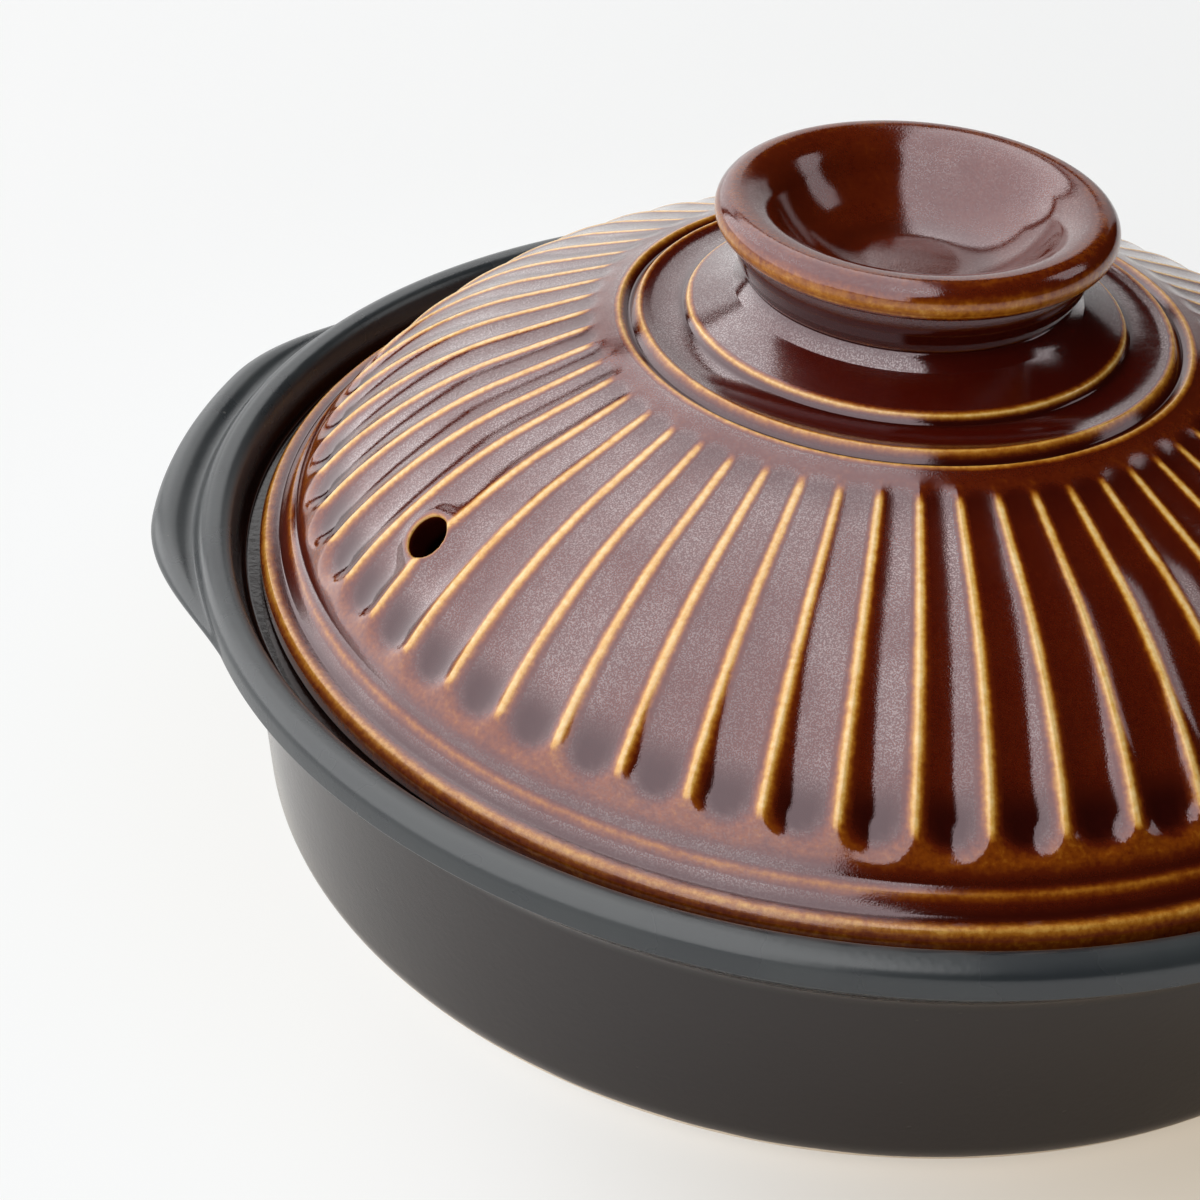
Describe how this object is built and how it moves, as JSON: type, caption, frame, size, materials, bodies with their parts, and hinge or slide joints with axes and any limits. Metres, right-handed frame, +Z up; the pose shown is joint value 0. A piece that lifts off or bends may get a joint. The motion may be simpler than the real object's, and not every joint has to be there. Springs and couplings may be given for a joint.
{
  "type": "lidded clay cooking pot",
  "caption": "Low round clay stovetop pot with lug handles under its rim and a domed, fluted lid with a steam hole and a cup-shaped knob, which lifts off.",
  "frame": {"origin": "middle of the base, on the surface that the pot stands on", "axes": "+Z up along the pot's turning axis, +X towards the right-hand handle, -Y towards the front"},
  "size_m": [0.2828, 0.264, 0.1241],
  "materials": {
    "pot_clay": "satin charcoal glaze over pale clay",
    "lid_glaze": "glossy amber glaze, dark in the hollows and pale on the ridges"
  },
  "bodies": {
    "pot": {"pot_body": "pot_clay", "handle_left": "pot_clay", "handle_right": "pot_clay"},
    "lid": {"lid_dome": "lid_glaze", "lid_knob": "lid_glaze"}
  },
  "joints": [
    {"name": "lid_lift", "type": "slide", "parent": "pot", "child": "lid", "axis": [0, 0, 1], "range_m": [0, 0.1]}
  ]
}
